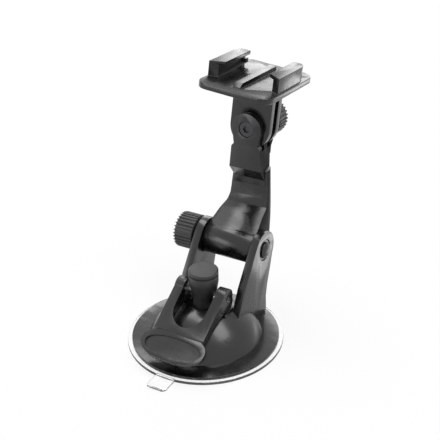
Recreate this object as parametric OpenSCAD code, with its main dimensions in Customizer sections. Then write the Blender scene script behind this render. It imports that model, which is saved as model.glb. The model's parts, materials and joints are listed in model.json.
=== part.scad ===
// Windscreen suction mount for a small camera: a lever-locked suction base with a
// yoke, a cranked arm that tilts in the yoke, and a slide-in plate hinged on the arm.
// Millimetres. The underside of the suction pad lies on z = 0 and is centred on the
// origin. X runs along the lower hinge, -Y points to the locking lever, +Z is up.

/* [Suction pad] */
// Diameter of the soft clear pad
pad_d = 82; // [76:1:100]
// Thickness of the pad's outer zone
pad_t = 1.7; // [1.4:0.1:3]
// Diameter of the thin lifting centre of the pad
membrane_d = 35; // [32:1:40]
// Thickness of the lifting centre
membrane_t = 1; // [0.6:0.1:1.2]
// Width of the pull tab at the pad's edge
tab_w = 11; // [8:1:16]
// How far the pull tab stands out past the pad
tab_reach = 9; // [5:1:14]
// Thickness of the pull tab
tab_t = 1.1; // [0.8:0.1:1.4]

/* [Base] */
// Diameter of the black base disc
disc_d = 77.4; // [74:0.2:90]
// Thickness of the base disc at its rim
disc_rim_t = 1.3; // [1:0.1:3]
// Thickness of the base disc under the dome
disc_t = 1.8; // [1.6:0.1:3]
// Diameter of the dome where it meets the disc
dome_d = 59.2; // [56:0.2:66]
// Height of the dome above the disc
dome_h = 18.6; // [17:0.2:22]
// Wall of the dome
dome_wall = 2.4; // [2:0.1:3]
// Number of screws that hold the dome to the disc
screw_count = 3; // [3:1:4]
// Radius of the circle of dome screws
screw_circle_r = 22.5; // [21:0.5:23]
// Diameter of the dome screws
screw_d = 2.9; // [2.5:0.1:3.2]
// Length of the dome screws
screw_l = 7.6; // [6:0.2:9]

/* [Yoke] */
// Clear gap between the two uprights
yoke_gap = 29.2; // [28:0.2:34]
// Thickness of each upright
upright_t = 4.2; // [3.6:0.1:6]
// How far the lower hinge lies behind the pad's centre
hinge_y = 31.8; // [30:0.2:34]
// Height of the lower hinge
hinge_z = 41.5; // [40:0.5:50]
// Radius of the rounded head of each upright
yoke_head_r = 10.2; // [9:0.1:11]

/* [Locking post and lever] */
// Diameter of the post where it slides in the dome
post_d = 12; // [11:0.5:13]
// Diameter of the post at its top
post_top_d = 15.4; // [14:0.2:16.4]
// Height of the top of the post with the lever locked
post_top_z = 42.2; // [40:0.2:46]
// Thickness of the cap on the post
cap_t = 2.6; // [2:0.1:4]
// How far the post rises when the lever locks
lift = 2.5; // [1.5:0.1:2.6]
// Height of the lever's pin with the lever locked
pin_z = 27.6; // [27:0.1:30]
// Diameter of the lever's pin
pin_d = 3.2; // [2.5:0.1:4]
// Width of the lever across its two ears
lever_w = 28.8; // [27:0.2:32]
// Width of the slot between the ears
lever_slot_w = 18.4; // [17.4:0.2:20]
// Width of the oval thumb paddle
paddle_w = 36; // [30:1:42]
// Length of the oval thumb paddle
paddle_l = 17.2; // [14:0.2:20]
// Thickness of the thumb paddle
paddle_t = 2.2; // [1.8:0.1:3]
// Radius of the cam on each ear
cam_r = 4.9; // [4.6:0.1:5]
// Diameter of the steel lift plate
lift_plate_d = 28; // [24:1:30]
// Thickness of the lift plate
lift_plate_t = 1.2; // [0.8:0.1:1.6]
// Wire diameter of the return spring
spring_wire_d = 1.2; // [0.8:0.1:1.3]
// Mean radius of the return spring
spring_r = 8.2; // [7.8:0.1:8.6]

/* [Arm] */
// Radius of the arm's barrel in the yoke
barrel_r = 8.8; // [8:0.1:9.6]
// Height of the upper hinge
upper_z = 100.6; // [95:1:115]
// Distance of the arm's front cheek face behind the pad's centre
upper_y = 47; // [44:1:50]
// Backward lean of the upper hinge
upper_tilt = 5.7; // [0:0.1:12]
// Radius of the arm's round prong heads at the upper hinge
arm_head_r = 8.6; // [8:0.1:9.6]
// Half-width of the arm's neck below the prong heads
arm_neck_r = 7; // [6.4:0.1:7.6]
// Thickness of the front cheek
cheek_t = 3.6; // [3:0.1:5]
// Thickness of the middle prong
prong_t = 3.5; // [3:0.1:5]
// Thickness of the rear cheek
rear_cheek_t = 3; // [2.4:0.1:4]

/* [Quick-release plate] */
// Width of the plate across its rails
plate_w = 41.3; // [38:0.1:48]
// Length of the plate along the slide
plate_l = 53.3; // [45:0.1:60]
// Thickness of the plate
plate_t = 3; // [2.4:0.1:4]
// Corner radius of the plate
plate_corner_r = 6.5; // [3:0.5:9]
// Height of the plate's top face above the upper hinge
plate_rise = 26.8; // [24:0.2:32]
// Turn of the plate about the upper hinge
plate_roll = 4.5; // [-10:0.5:10]
// Half-width of the plate's two ears
ear_r = 11.4; // [10:0.1:11.6]
// Thickness of each ear
ear_t = 3.6; // [3:0.1:5]
// Outer width across the rails
rail_outer_w = 39.6; // [36:0.1:41]
// Clear width between the rail lips
rail_mouth_w = 25; // [22:0.1:28]
// Clear width between the rail walls
rail_channel_w = 30.4; // [28:0.1:33]
// Height of the rails above the plate
rail_h = 8; // [6:0.1:10]
// Thickness of the rail lips
rail_lip_t = 2; // [1.4:0.1:3]
// Length of the rails
rail_l = 31; // [26:0.5:34]
// Width of the middle ridge
ridge_w = 4; // [3:0.1:6]
// Height of the middle ridge
ridge_h = 2.3; // [1.6:0.1:3]
// Length of the middle ridge
ridge_l = 40; // [34:1:44]

/* [Bolts and knobs] */
// Diameter of the two hinge bolts
bolt_d = 5; // [4:0.1:5.6]
// Diameter of the knobs
knob_d = 19.8; // [17:0.2:22]
// Length of the lower knob's knurled body
lower_knob_l = 11.6; // [9:0.2:14]
// Length of the upper knob's knurled body
upper_knob_l = 10; // [9:0.2:14]
// Number of grooves in the knurl
knurl_count = 30; // [20:1:36]
// Outer diameter of the brass insert in each knob
insert_d = 8; // [7.4:0.1:9]
// Length of the brass insert
insert_l = 7; // [6:0.1:8]
// Diameter of the washers
washer_d = 11; // [10:0.1:13]
// Thickness of the washers
washer_t = 0.8; // [0.6:0.1:1.2]

/* [Hidden] */
$fn = 96;

// Clearances
eps = 0.02;          // overlap of cutters past a face
run_gap = 0.06;      // radial clearance of a running fit
seat_gap = 0.02;     // radial clearance of a fixed fit
side_gap = 0.3;      // gap between faces that move past each other
knob_gap = 0.1;      // gap between a knob's collar and its washer
cam_gap = 0.3;       // gap under the cam with the lever locked

// Base heights
disc_z = pad_t;
dome_z = disc_z + disc_t;
dome_r = dome_d / 2;
dome_ball_r = (dome_r * dome_r + dome_h * dome_h) / (2 * dome_h);
dome_ball_z = dome_z + dome_h - dome_ball_r;
disc_hole_r = membrane_d / 2 + 0.5;

// Cam: its centre lies off the pin, so that opening the lever lets the post down
cam_offset = 1.9;
cam_lead = 20;
cam_pad_z = pin_z - cam_offset * cos(cam_lead) - cam_r - cam_gap;
cam_pad_l = 8.6;
cam_pad_margin = 0.6;    // how far a pad stands out past each side of its ear

// Post and sleeve
sleeve_wall = 3.4;
sleeve_z = 9.2;
sleeve_r = post_d / 2 + sleeve_wall;
post_foot_z = 5.2;
post_taper_z = cam_pad_z + lift + 2;
post_neck_l = 4;
post_neck_z = post_top_z - cap_t;
lift_plate_z = membrane_t + lift + 0.2;
stud_d = 5;
stud_top_z = 19;
cap_spigot_d = 6;
cap_spigot_l = 3;

// Lever
ear_top_r = 5.2;
ear_top_y = -1;
ear_top_z = pin_z + 1.4;
lever_root_y = -26;
lever_root_z = 17.8;
lever_slot_y = -22.8;
paddle_drop = 27;
paddle_overlap = 1.8;
paddle_rim = 2.2;
paddle_recess = 0.5;

// Lower hinge, along X
barrel_half = yoke_gap / 2 - side_gap;
yoke_half = yoke_gap / 2 + upright_t;
bolt_recess_d = washer_d + 0.8;
bolt_recess = 1.2;
lower_head_d = 8.8;
lower_head_h = 2.6;
lower_crown_h = 1.5;
bolt_r = bolt_d / 2;
bolt_bore_r = bolt_r + run_gap;
collar_l = 0.9;
collar_d = 13.2;
washer_bore_r = bolt_r + 0.2;
bolt_end_back = 2.4;     // how far a bolt's tip stops short of its knob's outer face

// Upper hinge: distances along its axis from the front cheek's face
ear1_s = cheek_t + side_gap;
prong_s = ear1_s + ear_t + side_gap;
prong_end_s = prong_s + prong_t;
ear2_s = prong_end_s + side_gap;
rear_s = ear2_s + ear_t + side_gap;
rear_end_s = rear_s + rear_cheek_t;
upper_knob_s = rear_end_s + washer_t + knob_gap;
ear_slot_half = ear_r + 0.5;
plate_mid_s = 4.9;
shoulder_half = 8.4;     // half-width of the arm's body just below the neck
shoulder_z = -10.2;      // height of that place from the hinge
body_flare = 5.2;        // lean of the body's sides, outwards going down
body_taper = 8.3;        // turn of the body's sides, inwards going back
upper_head_d = 8;
upper_head_h = 1.5;
upper_pocket_d = upper_head_d + 0.6;
upper_pocket = 1.9;

// ---------- placing helpers ----------

// Moves a shape built at the origin, with its axis on X, to the lower hinge.
module at_lower_hinge() {
    translate([0, hinge_y, hinge_z]) children();
}

// Local frame of the upper hinge: Y runs along its axis from the front cheek's face.
module at_upper_hinge() {
    translate([0, upper_y, upper_z]) rotate([-upper_tilt, 0, 0]) children();
}

// Local frame of the plate: z = 0 is its top face, Y runs along the slide.
module on_plate() {
    at_upper_hinge()
        rotate([0, plate_roll, 0])
            translate([0, plate_mid_s, plate_rise]) children();
}

// Extrudes an outline drawn in (Y, Z) along X, centred, to the given half-width.
module along_x(half) {
    translate([-half, 0, 0]) rotate([90, 0, 90]) linear_extrude(2 * half) children();
}

// Extrudes an outline drawn in (X, Z) along Y, from y0 over a length.
module along_y(y0, length) {
    translate([0, y0 + length, 0]) rotate([90, 0, 0]) linear_extrude(length) children();
}

// A rod along X from x0 to x1.
module x_rod(r, x0, x1) {
    translate([x0, 0, 0]) rotate([0, 90, 0]) cylinder(r = r, h = x1 - x0);
}

// A rod along Y from y0 to y1.
module y_rod(r, y0, y1) {
    translate([0, y0, 0]) rotate([-90, 0, 0]) cylinder(r = r, h = y1 - y0);
}

// A rectangle with round corners.
module rounded_rect(w, l, r) {
    square([w - 2 * r, l], center = true);
    square([w, l - 2 * r], center = true);
    for (sx = [-1, 1], sy = [-1, 1])
        translate([sx * (w / 2 - r), sy * (l / 2 - r)]) circle(r);
}

// A full, slightly squared oval.
module oval(w, l) {
    steps = 60;
    power = 2.3;
    polygon([for (i = [0:steps - 1])
        let (a = 360 * i / steps, c = cos(a), s = sin(a))
        [sign(c) * pow(abs(c), 2 / power) * w / 2, sign(s) * pow(abs(s), 2 / power) * l / 2]]);
}

// ---------- base ----------

module suction_pad() {
    lip_r = 0.5;
    color([0.86, 0.87, 0.84, 0.6]) {
        rotate_extrude() polygon([
            [0, 0], [pad_d / 2 - lip_r, 0], [pad_d / 2, lip_r], [pad_d / 2, pad_t - lip_r],
            [pad_d / 2 - lip_r, pad_t], [membrane_d / 2, pad_t],
            [membrane_d / 2 - (pad_t - membrane_t), membrane_t], [0, membrane_t]]);
        pull_tab();
    }
}

module pull_tab() {
    tab_corner_r = 2;
    tab_inside = 3;
    translate([0, -pad_d / 2 - tab_reach / 2 + tab_inside / 2, 0])
        linear_extrude(tab_t) rounded_rect(tab_w, tab_reach + tab_inside, tab_corner_r);
}

module base_disc() {
    countersink_h = 1.4;
    color([0.03, 0.03, 0.035]) difference() {
        rotate_extrude() polygon([
            [disc_hole_r, disc_z], [disc_d / 2, disc_z], [disc_d / 2, disc_z + disc_rim_t],
            [dome_r + 0.4, dome_z], [disc_hole_r, dome_z]]);
        at_screws() {
            translate([0, 0, disc_z - eps]) cylinder(r = screw_d / 2 + 0.1, h = disc_t + 2 * eps);
            translate([0, 0, disc_z - eps])
                cylinder(r1 = screw_d + 0.15, r2 = screw_d / 2 + 0.1, h = countersink_h);
        }
    }
}

module at_screws() {
    for (i = [0:screw_count - 1])
        rotate(90 + 360 * i / screw_count) translate([screw_circle_r, 0, 0]) children();
}

module dome_screws() {
    head_h = 1.3;
    color([0.62, 0.62, 0.6]) at_screws() {
        translate([0, 0, disc_z]) cylinder(r1 = screw_d, r2 = screw_d / 2, h = head_h);
        translate([0, 0, disc_z]) cylinder(r = screw_d / 2, h = screw_l);
    }
}

// One upright seen from the side: a leaning strut with a round head and a flared foot.
module upright_outline() {
    front_foot_y = -1;
    back_foot_y = 33;
    waist_y = 32.8;
    waist_z = 12;
    lean = 36.7;
    head_front = [hinge_y - yoke_head_r * cos(lean), hinge_z + yoke_head_r * sin(lean)];
    translate([hinge_y, hinge_z]) circle(yoke_head_r);
    polygon([
        [front_foot_y, dome_z], [2.1, 16.1], [9.4, 29.2], head_front,
        [hinge_y, hinge_z + 2], [hinge_y + yoke_head_r, hinge_z], [38.6, 30.3],
        [waist_y + 1.4, 18.3], [waist_y, waist_z], [back_foot_y, 7], [back_foot_y, dome_z]]);
}

module dome_cap(inset) {
    intersection() {
        translate([0, 0, dome_ball_z]) sphere(dome_ball_r - inset);
        translate([0, 0, dome_z]) cylinder(r = dome_r, h = dome_h + 1);
    }
}

module dome_housing() {
    boss_r = 3.6;
    boss_hole = 8.6;
    color([0.035, 0.035, 0.04]) difference() {
        union() {
            difference() {
                union() {
                    dome_cap(0);
                    cam_pads(dome_z, cam_pad_z);
                }
                dome_cap(dome_wall);
            }
            intersection() {
                dome_cap(0);
                union() {
                    translate([0, 0, sleeve_z]) cylinder(r = sleeve_r, h = dome_h + 2);
                    at_screws() translate([0, 0, dome_z]) cylinder(r = boss_r, h = dome_h);
                }
            }
            for (s = [-1, 1]) translate([s * (yoke_half - upright_t / 2), 0, 0])
                difference() {
                    along_x(upright_t / 2) upright_outline();
                    translate([-s * (yoke_half - upright_t / 2), 0, 0]) dome_cap(dome_wall);
                }
        }
        cam_pads(cam_pad_z, post_top_z);
        translate([0, 0, dome_z - eps]) cylinder(r = post_d / 2 + run_gap, h = dome_h + 8);
        at_screws() translate([0, 0, dome_z - eps]) cylinder(r = screw_d / 2 + seat_gap, h = boss_hole - disc_t);
        at_lower_hinge() {
            x_rod(bolt_bore_r, -yoke_half - eps, yoke_half + eps);
            x_rod(bolt_recess_d / 2, yoke_half - bolt_recess, yoke_half + eps);
        }
    }
}

// Blocks with the outline of the flat pads under the two cams, between two heights. The
// lower pair makes the pads, and the upper pair cuts the dome flat above them.
module cam_pads(z0, z1) {
    pad_in = lever_slot_w / 2 - cam_pad_margin;
    pad_w = lever_w / 2 - pad_in;
    for (s = [-1, 1])
        translate([s * (pad_in + pad_w / 2), 0, (z0 + z1) / 2])
            cube([pad_w, cam_pad_l, z1 - z0], center = true);
}

// ---------- locking post and lever ----------

module lift_plate() {
    stud_r = stud_d / 2;
    color([0.7, 0.7, 0.7]) {
        translate([0, 0, lift_plate_z]) cylinder(r = lift_plate_d / 2, h = lift_plate_t);
        translate([0, 0, lift_plate_z]) cylinder(r = stud_r, h = stud_top_z - lift_plate_z);
    }
}

// Point on the spring's tube: t counts turns, side is the angle round the wire.
function spring_point(t, side, z0, rise) =
    let (r = spring_r + spring_wire_d / 2 * cos(side))
    [r * cos(360 * t), r * sin(360 * t), z0 + rise * t + spring_wire_d / 2 * sin(side)];

module return_spring() {
    turns = 2;
    steps = 48;
    sides = 8;
    z0 = lift_plate_z + lift_plate_t + spring_wire_d / 2 + 0.05;
    z1 = sleeve_z - spring_wire_d / 2 - 0.05;
    rise = (z1 - z0) / turns;
    rings = [for (i = [0:steps], j = [0:sides - 1])
        spring_point(turns * i / steps, 360 * j / sides, z0, rise)];
    walls = [for (i = [0:steps - 1], j = [0:sides - 1])
        let (k = (j + 1) % sides)
        [i * sides + j, i * sides + k, (i + 1) * sides + k, (i + 1) * sides + j]];
    first = [[for (j = [sides - 1:-1:0]) j]];
    last = [[for (j = [0:sides - 1]) steps * sides + j]];
    color([0.75, 0.75, 0.76]) polyhedron(rings, concat(walls, first, last), convexity = 4);
}

module lift_post() {
    neck_z = post_neck_z - post_neck_l;
    color([0.04, 0.04, 0.045]) difference() {
        union() {
            translate([0, 0, post_foot_z]) cylinder(r = post_d / 2, h = post_taper_z - post_foot_z);
            translate([0, 0, post_taper_z])
                cylinder(r1 = post_d / 2, r2 = post_top_d / 2, h = neck_z - post_taper_z);
            translate([0, 0, neck_z]) cylinder(r = post_top_d / 2, h = post_neck_l);
        }
        translate([0, 0, post_foot_z - eps])
            cylinder(r = stud_d / 2 + seat_gap, h = stud_top_z + 0.5 - post_foot_z);
        translate([0, 0, post_neck_z - cap_spigot_l - 0.2])
            cylinder(r = cap_spigot_d / 2 + seat_gap, h = cap_spigot_l + 1);
        translate([0, 0, pin_z]) x_rod(pin_d / 2 + seat_gap, -post_d, post_d);
    }
}

module post_cap() {
    edge = 0.5;
    color([0.05, 0.05, 0.055]) {
        rotate_extrude() polygon([
            [0, post_neck_z], [post_top_d / 2 - edge, post_neck_z], [post_top_d / 2, post_neck_z + edge],
            [post_top_d / 2, post_top_z - edge], [post_top_d / 2 - edge, post_top_z],
            [0, post_top_z]]);
        translate([0, 0, post_neck_z - cap_spigot_l]) cylinder(r = cap_spigot_d / 2, h = cap_spigot_l + 1);
    }
}

module lever_pin() {
    pin_half = lever_w / 2 - 0.6;
    color([0.72, 0.72, 0.72]) translate([0, 0, pin_z]) x_rod(pin_d / 2, -pin_half, pin_half);
}

// Side view of the lever: cam and ear round the pin, then a wedge to the paddle's root.
module lever_outline() {
    cam_y = -cam_offset * sin(cam_lead);
    cam_z = pin_z - cam_offset * cos(cam_lead);
    translate([cam_y, cam_z]) circle(cam_r);
    translate([ear_top_y, ear_top_z]) circle(ear_top_r);
    polygon([
        [ear_top_y, ear_top_z + ear_top_r], [lever_root_y, lever_root_z + 0.6],
        [lever_root_y - 0.6, lever_root_z - 2.2], [-13, 19.9], [cam_y - 4.6, cam_z - 3.6],
        [cam_y, cam_z - cam_r], [cam_y + 3, cam_z], [ear_top_y + 3, ear_top_z]]);
}

module cam_lever() {
    slot_half = lever_slot_w / 2;
    color([0.035, 0.035, 0.04]) difference() {
        union() {
            along_x(lever_w / 2) lever_outline();
            translate([0, lever_root_y, lever_root_z]) rotate([paddle_drop, 0, 0])
                translate([0, -paddle_l / 2 + paddle_overlap, -paddle_t]) paddle();
        }
        translate([0, lever_slot_y + slot_half, 0]) {
            cylinder(r = slot_half, h = post_top_z);
            translate([-slot_half, 0, 0]) cube([lever_slot_w, 60, post_top_z]);
        }
        translate([0, 0, pin_z]) x_rod(pin_d / 2 + run_gap, -lever_w, lever_w);
    }
}

module paddle() {
    difference() {
        linear_extrude(paddle_t) oval(paddle_w, paddle_l);
        translate([0, -paddle_overlap / 2, paddle_t - paddle_recess])
            linear_extrude(1) oval(paddle_w - 2 * paddle_rim, paddle_l - 2 * paddle_rim - paddle_overlap);
    }
}

// ---------- arm ----------

// Lower half of the arm from the side: it leaves the barrel backwards and turns up.
module elbow_outline() {
    polygon([
        [hinge_y - 1.3, hinge_z + 8.6], [hinge_y + 8.5, hinge_z + 13.7],
        [hinge_y + 14.6, hinge_z + 15.7], [hinge_y + 17.4, hinge_z + 19],
        [hinge_y + 18.5, hinge_z + 23.5], [hinge_y + 19.3, hinge_z + 30],
        [hinge_y + 19.3, hinge_z + 35], [hinge_y + 26.6, hinge_z + 35],
        [hinge_y + 27.4, hinge_z + 13], [hinge_y + 26, hinge_z + 5],
        [hinge_y + 21.5, hinge_z - 2], [hinge_y + 14, hinge_z - 6.6],
        [hinge_y + 4, hinge_z - 7.8], [hinge_y - 4, hinge_z]]);
}

// The same half from the front: as wide as the barrel, then drawn in to the web.
module elbow_front() {
    polygon([for (s = [-1, 1]) for (p = s < 0 ? elbow_widths() : reversed(elbow_widths()))
        [s * p[0], hinge_z + p[1]]]);
}

function elbow_widths() = [
    [barrel_half, -12], [barrel_half, 8.8], [12.9, 13.7], [11.7, 16.5], [11.2, 20],
    [10.9, 25], [10.3, 31], [10, 36]];

function reversed(v) = [for (i = [len(v) - 1:-1:0]) v[i]];

// The elbow from above: its sides draw in towards the back.
module elbow_plan() {
    polygon([
        [-barrel_half, hinge_y - 12], [barrel_half, hinge_y - 12], [barrel_half, hinge_y + 12],
        [11.6, hinge_y + 18.5], [8, hinge_y + 28], [-8, hinge_y + 28],
        [-11.6, hinge_y + 18.5], [-barrel_half, hinge_y + 12]]);
}

// Upper half from the side, in the upper hinge's frame: the prongs and the body below.
module fork_side() {
    polygon([
        [0, 12], [0, -8], [0.6, -22], [6.2, -28.6], [6.4, -32], [13.6, -32],
        [14.5, -24], [15.8, -17], [16.4, -12], [rear_end_s, -9], [rear_end_s, 12]]);
}

// A prong from the front: a round head on a neck.
module prong_front() {
    tangent = 28;
    edge = [arm_head_r * cos(tangent), -arm_head_r * sin(tangent)];
    circle(arm_head_r);
    polygon([
        [-edge[0], edge[1]], [-arm_neck_r, -8.4], [-arm_neck_r, shoulder_z - 6],
        [arm_neck_r, shoulder_z - 6], [arm_neck_r, -8.4], [edge[0], edge[1]]]);
}

// The body that the prongs stand on. Its sides lean out downwards and draw in backwards.
module fork_body() {
    difference() {
        along_y(0, rear_end_s) polygon([
            [-arm_neck_r, -8.6], [-shoulder_half, shoulder_z], [-barrel_half, shoulder_z - 2],
            [-barrel_half, -32], [barrel_half, -32], [barrel_half, shoulder_z - 2],
            [shoulder_half, shoulder_z], [arm_neck_r, -8.6]]);
        for (s = [-1, 1])
            translate([s * shoulder_half, 0, shoulder_z]) rotate([0, s * -body_flare, s * body_taper])
                translate([s * barrel_half, 0, 0]) cube([2 * barrel_half, 80, 80], center = true);
    }
}

module arm() {
    color([0.04, 0.04, 0.045]) difference() {
        union() {
            at_lower_hinge() x_rod(barrel_r, -barrel_half, barrel_half);
            intersection() {
                along_x(barrel_half) elbow_outline();
                along_y(hinge_y - 12, 60) elbow_front();
                linear_extrude(upper_z) elbow_plan();
            }
            at_upper_hinge() intersection() {
                along_x(barrel_half) fork_side();
                union() {
                    along_y(0, rear_end_s) prong_front();
                    fork_body();
                }
            }
        }
        at_lower_hinge() x_rod(bolt_bore_r, -barrel_half - eps, barrel_half + eps);
        at_upper_hinge() {
            y_rod(bolt_r + seat_gap, -1, rear_end_s + 1);
            y_rod(upper_pocket_d / 2, -1, upper_pocket);
            ear_slot(cheek_t, prong_s);
            ear_slot(prong_end_s, rear_s);
        }
    }
}

// Room for one ear of the plate between two prongs. Its flat root lies below the ear, so
// the plate can turn until it lies flat along either side of the arm.
module ear_slot(s0, s1) {
    translate([-2 * ear_slot_half, s0, -ear_slot_half]) cube([4 * ear_slot_half, s1 - s0, 3 * ear_slot_half]);
}

// ---------- quick-release plate ----------

module quick_release_plate() {
    color([0.04, 0.04, 0.045]) {
        on_plate() {
            translate([0, 0, -plate_t]) linear_extrude(plate_t)
                rounded_rect(plate_w, plate_l, plate_corner_r);
            for (s = [-1, 1]) scale_x(s) rail();
            ridge();
        }
        at_upper_hinge() rotate([0, plate_roll, 0]) difference() {
            for (s0 = [ear1_s, ear2_s]) {
                y_rod(ear_r, s0, s0 + ear_t);
                translate([-ear_r, s0, 0]) cube([2 * ear_r, ear_t, plate_rise - plate_t + eps]);
            }
            y_rod(bolt_bore_r, 0, rear_s);
        }
    }
}

// Mirrors its children across X when s is negative.
module scale_x(s) {
    if (s < 0) mirror([1, 0, 0]) children();
    else children();
}

// One rail, on the +X side: a wall with an inward lip, its front end cut back and its
// rear end rounded inwards, with a stop tooth at the rear.
module rail() {
    out = rail_outer_w / 2;
    wall_in = rail_channel_w / 2;
    lip_in = rail_mouth_w / 2;
    front = -15;
    back = front + rail_l;
    cut = 4.5;
    tooth_l = 3;
    intersection() {
        union() {
            translate([wall_in, front, 0]) cube([out - wall_in, rail_l, rail_h]);
            translate([lip_in, front, rail_h - rail_lip_t]) cube([out - lip_in, rail_l, rail_lip_t]);
            translate([lip_in + 0.8, back - tooth_l, 1.6])
                cube([out - lip_in - 0.8, tooth_l, 2.4]);
        }
        translate([0, 0, -eps]) linear_extrude(rail_h + 1) polygon([
            [out, front], [out, back - 6], [out - 1, back - 2], [out - 2.6, back],
            [lip_in, back], [lip_in, front + cut]]);
    }
}

// The middle ridge, with a ramp at its front end.
module ridge() {
    front = -21;
    ramp = 2.6;
    along_x(ridge_w / 2) polygon([
        [front, -eps], [front, 0.4], [front + ramp, ridge_h], [front + ridge_l, ridge_h],
        [front + ridge_l, -eps]]);
}

// ---------- bolts, washers and knobs ----------

module washer(r) {
    difference() {
        cylinder(r = r, h = washer_t);
        translate([0, 0, -eps]) cylinder(r = washer_bore_r, h = washer_t + 2 * eps);
    }
}

// A knob with its axis on +Z: collar at z = 0, knurled body above it.
module knob(length) {
    groove_r = 0.62;
    chamfer = 1.3;
    body_r = knob_d / 2;
    difference() {
        union() {
            cylinder(r = collar_d / 2, h = collar_l + eps);
            translate([0, 0, collar_l]) intersection() {
                linear_extrude(length) difference() {
                    circle(body_r);
                    for (i = [0:knurl_count - 1])
                        rotate(360 * i / knurl_count) translate([body_r + 0.1, 0]) circle(groove_r);
                }
                rotate_extrude() polygon([
                    [0, 0], [body_r - 0.4, 0], [body_r, 0.4], [body_r, length - chamfer],
                    [body_r - chamfer, length], [0, length]]);
            }
        }
        translate([0, 0, -eps]) cylinder(r = insert_d / 2, h = insert_l + eps);
        translate([0, 0, insert_l - eps])
            cylinder(r = bolt_r + 0.3, h = collar_l + length - bolt_end_back + 0.6 - insert_l);
    }
}

// The insert in the same frame as the knob.
module knob_insert() {
    difference() {
        cylinder(r = insert_d / 2, h = insert_l);
        translate([0, 0, -eps]) cylinder(r = bolt_bore_r, h = insert_l + 2 * eps);
    }
}

// The lower knob's frame: its axis runs along -X from the washer on the left upright.
module at_lower_knob(gap) {
    at_lower_hinge() translate([-yoke_half - gap, 0, 0]) rotate([0, -90, 0]) children();
}

module at_upper_knob(s) {
    at_upper_hinge() translate([0, s, 0]) rotate([-90, 0, 0]) children();
}

module lower_bolt() {
    head_x = yoke_half - bolt_recess + washer_t;
    tip_x = -yoke_half - washer_t - knob_gap - collar_l - lower_knob_l + bolt_end_back;
    ball_r = (lower_head_d * lower_head_d / 4 + lower_crown_h * lower_crown_h) / (2 * lower_crown_h);
    crown_angle = asin(lower_head_d / 2 / ball_r);
    color([0.3, 0.3, 0.3]) at_lower_hinge() {
        x_rod(bolt_r, tip_x, head_x);
        translate([head_x, 0, 0]) rotate([0, 90, 0]) rotate_extrude() polygon(concat(
            [[0, 0], [lower_head_d / 2, 0]],
            [for (i = [0:8]) let (a = crown_angle * (8 - i) / 8)
                [ball_r * sin(a), lower_head_h - ball_r + ball_r * cos(a)]]));
    }
}

module lower_bolt_washer() {
    color([0.45, 0.45, 0.45]) at_lower_hinge()
        translate([yoke_half - bolt_recess, 0, 0]) rotate([0, 90, 0]) washer(washer_d / 2);
}

module lower_knob_washer() {
    color([0.2, 0.2, 0.2]) at_lower_knob(0) washer(washer_d / 2);
}

module lower_knob() {
    color([0.05, 0.05, 0.055]) at_lower_knob(washer_t + knob_gap) knob(lower_knob_l);
}

module lower_knob_insert() {
    color([0.75, 0.6, 0.3]) at_lower_knob(washer_t + knob_gap) knob_insert();
}

module upper_bolt() {
    tip_s = upper_knob_s + collar_l + upper_knob_l - bolt_end_back;
    socket_d = 4;
    color([0.3, 0.3, 0.3]) at_upper_hinge() difference() {
        union() {
            y_rod(bolt_r, upper_pocket - eps, tip_s);
            y_rod(upper_head_d / 2, upper_pocket - upper_head_h, upper_pocket);
        }
        y_rod(socket_d / 2, 0, upper_pocket - 0.5, $fn = 6);
    }
}

module upper_knob_washer() {
    color([0.2, 0.2, 0.2]) at_upper_knob(rear_end_s) washer(washer_d / 2);
}

module upper_knob() {
    color([0.05, 0.05, 0.055]) at_upper_knob(upper_knob_s) knob(upper_knob_l);
}

module upper_knob_insert() {
    color([0.75, 0.6, 0.3]) at_upper_knob(upper_knob_s) knob_insert();
}

suction_pad();
base_disc();
dome_housing();
dome_screws();
lift_plate();
return_spring();
lift_post();
post_cap();
lever_pin();
cam_lever();
arm();
lower_bolt();
lower_bolt_washer();
lower_knob_washer();
lower_knob();
lower_knob_insert();
quick_release_plate();
upper_bolt();
upper_knob_washer();
upper_knob();
upper_knob_insert();
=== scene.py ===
"""Finish of a windscreen suction mount: moulded black plastic, a clear pad and plated hardware."""

import json
import logging
import math
from dataclasses import dataclass, field
from enum import Enum

import bmesh
import bpy
from mathutils import Matrix, Vector

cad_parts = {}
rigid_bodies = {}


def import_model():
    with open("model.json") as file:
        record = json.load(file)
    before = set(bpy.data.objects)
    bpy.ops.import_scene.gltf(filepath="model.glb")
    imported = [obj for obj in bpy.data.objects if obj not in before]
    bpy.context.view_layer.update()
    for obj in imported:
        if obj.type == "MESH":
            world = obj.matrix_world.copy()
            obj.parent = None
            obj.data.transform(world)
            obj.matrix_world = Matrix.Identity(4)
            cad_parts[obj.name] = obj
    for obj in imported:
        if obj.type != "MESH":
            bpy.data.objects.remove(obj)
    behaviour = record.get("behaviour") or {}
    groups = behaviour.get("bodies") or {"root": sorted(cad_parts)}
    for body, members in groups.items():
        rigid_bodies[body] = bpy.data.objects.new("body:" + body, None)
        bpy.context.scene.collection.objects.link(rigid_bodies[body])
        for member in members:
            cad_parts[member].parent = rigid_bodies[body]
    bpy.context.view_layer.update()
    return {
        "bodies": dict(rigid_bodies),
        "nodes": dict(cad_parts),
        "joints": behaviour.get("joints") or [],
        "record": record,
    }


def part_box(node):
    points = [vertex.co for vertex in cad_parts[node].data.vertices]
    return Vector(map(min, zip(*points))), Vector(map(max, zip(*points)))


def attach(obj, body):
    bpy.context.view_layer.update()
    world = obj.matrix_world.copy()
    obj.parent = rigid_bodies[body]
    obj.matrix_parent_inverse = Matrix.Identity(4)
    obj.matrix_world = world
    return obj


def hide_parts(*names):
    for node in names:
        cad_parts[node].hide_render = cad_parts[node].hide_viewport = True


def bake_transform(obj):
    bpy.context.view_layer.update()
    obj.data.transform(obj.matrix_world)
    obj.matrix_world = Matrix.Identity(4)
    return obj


LOG = logging.getLogger("suction_mount")
MM = 0.001

Colour = tuple[float, float, float, float]
Point = tuple[float, float, float]
Socket = bpy.types.NodeSocket

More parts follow.
